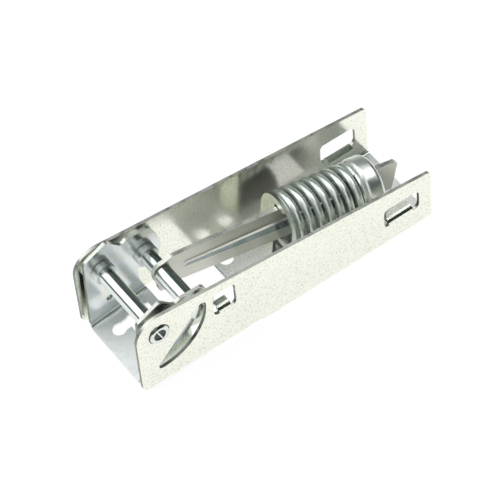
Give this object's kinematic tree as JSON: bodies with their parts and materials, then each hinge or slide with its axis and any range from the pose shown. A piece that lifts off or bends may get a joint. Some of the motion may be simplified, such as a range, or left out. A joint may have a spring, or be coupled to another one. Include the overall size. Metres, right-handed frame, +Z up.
{
  "type": "chest freezer lid hinge",
  "caption": "Spring-loaded freezer lid hinge: tapered folded steel channel, pivoting lid bracket, pull link and compression spring with a slotted cap.",
  "frame": {"origin": "on the mounting face, midway along the channel and midway between its walls", "axes": "+X from the pivot end to the far end, +Y to the rear wall, +Z up from the mounting face"},
  "size_m": [0.146, 0.047, 0.0474],
  "materials": {
    "galvanised_sheet": "galvanised, fine speckle",
    "plated_sheet": "bright zinc plated",
    "bright_steel": "polished",
    "plated_strip": "zinc plated",
    "spring_wire": "zinc plated wire",
    "bright_cap": "turned and plated"
  },
  "bodies": {
    "channel": {"outer_channel": "galvanised_sheet", "pivot_pin": "bright_steel", "pivot_washer_front": "plated_strip", "pivot_washer_rear": "plated_strip"},
    "bracket": {"lid_bracket": "plated_sheet", "link_pin": "bright_steel"},
    "link": {"pull_link": "plated_strip", "spring_cap": "bright_cap", "compression_spring": "spring_wire"}
  },
  "joints": [
    {"name": "lid_swing", "type": "hinge", "parent": "channel", "child": "bracket", "pos_m": [-0.0624, 0, 0.0338], "axis": [0, 1, 0], "range_deg": [0, 40], "stiffness_Nm_per_rad": 1.6, "deforming": ["compression_spring"]},
    {"name": "link_tilt", "type": "hinge", "parent": "bracket", "child": "link", "pos_m": [-0.0421, 0, 0.02861], "axis": [0, 1, 0], "range_deg": [-48, 0]}
  ],
  "couplings": [
    {"joint": "link_tilt", "follows": "lid_swing", "ratio": -1.1706}
  ]
}
